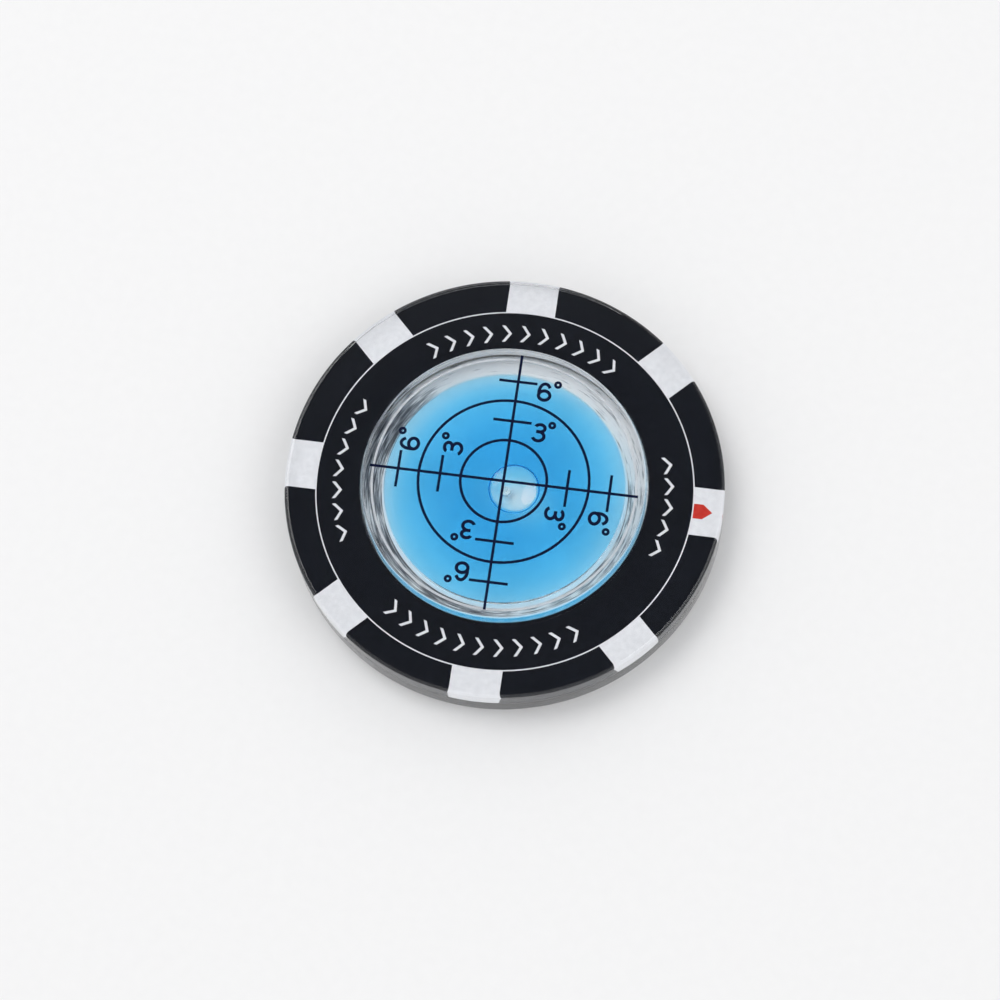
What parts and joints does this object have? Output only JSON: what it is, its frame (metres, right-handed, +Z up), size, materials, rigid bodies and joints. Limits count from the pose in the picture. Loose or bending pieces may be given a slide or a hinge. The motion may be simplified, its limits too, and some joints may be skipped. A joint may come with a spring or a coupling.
{
  "type": "golf ball marker",
  "caption": "Round poker-chip style ball marker of clear plastic with a bullseye bubble level in its middle, for marking a ball and reading a green's slope.",
  "frame": {"origin": "middle of the chip's underside, where it rests on the ground", "axes": "+Z up through the level vial, +X towards the white block with the red arrow"},
  "size_m": [0.04, 0.04, 0.0053],
  "materials": {
    "clear_acrylic": "polished, clear",
    "clear_adhesive": "clear",
    "black_print": "satin print",
    "white_print": "satin print",
    "red_print": "satin print",
    "navy_print": "satin print",
    "white_backing": "satin film",
    "blue_liquid": "dyed, clear",
    "bubble_air": "air bubble"
  },
  "bodies": {
    "marker": {"base_disc": "clear_acrylic", "lower_bond_film": "clear_adhesive", "label_film": "black_print", "edge_block_1": "white_print", "edge_block_2": "white_print", "edge_block_3": "white_print", "edge_block_4": "white_print", "edge_block_5": "white_print", "edge_block_6": "white_print", "edge_block_7": "white_print", "edge_block_8": "white_print", "ring_line": "white_print", "break_right_marks": "white_print", "downhill_marks": "white_print", "break_left_marks": "white_print", "uphill_marks": "white_print", "uphill_arrow": "red_print", "upper_bond_film": "clear_adhesive", "top_cover": "clear_acrylic", "vial_backing": "white_backing", "vial_bond_ring": "clear_adhesive", "vial_cup": "clear_acrylic", "fill_plug": "clear_acrylic", "weld_bead": "clear_acrylic", "vial_lid": "clear_acrylic", "reticle_lines": "navy_print", "degree_figures": "navy_print"},
    "liquid": {"level_liquid": "blue_liquid"},
    "bubble": {"air_bubble": "bubble_air"}
  },
  "joints": [
    {"name": "bubble_bearing", "type": "hinge", "parent": "marker", "child": "liquid", "pos_m": [0, 0, 0.0029], "axis": [0, 0, 1], "continuous": true},
    {"name": "bubble_tilt", "type": "hinge", "parent": "liquid", "child": "bubble", "pos_m": [0, 0, -0.06425], "axis": [0.2079, 0.9781, 0], "range_deg": [-0.81, 6.2], "stiffness_Nm_per_rad": 0.0001, "springref_deg": -0.81, "deforming": ["level_liquid"]}
  ]
}
